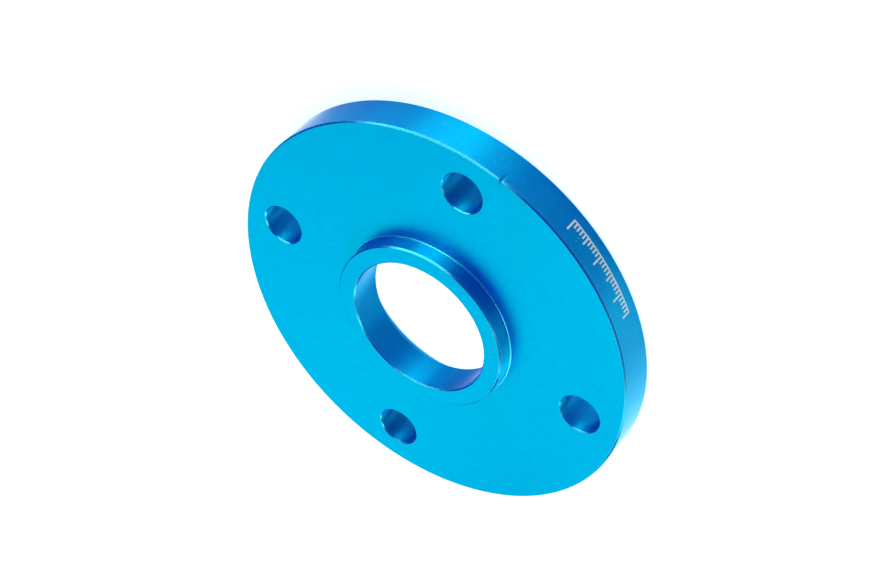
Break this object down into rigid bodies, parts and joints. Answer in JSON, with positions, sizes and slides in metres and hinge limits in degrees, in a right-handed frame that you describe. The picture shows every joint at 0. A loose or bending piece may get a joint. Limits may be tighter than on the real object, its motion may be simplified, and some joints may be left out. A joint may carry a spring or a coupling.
{
  "type": "drive shaft spacer",
  "caption": "Flat round spacer with a raised spigot round its bore, a matching recess behind and a ring of bolt holes, to sit between a drive shaft flange and its mating flange.",
  "frame": {"origin": "centre of the back face, the side with the recess, which is also the plane it lies on", "axes": "+Z along the shaft axis towards the spigot; +X from the axis towards one bolt hole"},
  "size_m": [0.108, 0.108, 0.0143],
  "materials": {
    "anodised_aluminium": "satin cyan-blue anodising with fine turning marks"
  },
  "bodies": {
    "root": {"spacer": "anodised_aluminium"}
  },
  "joints": []
}
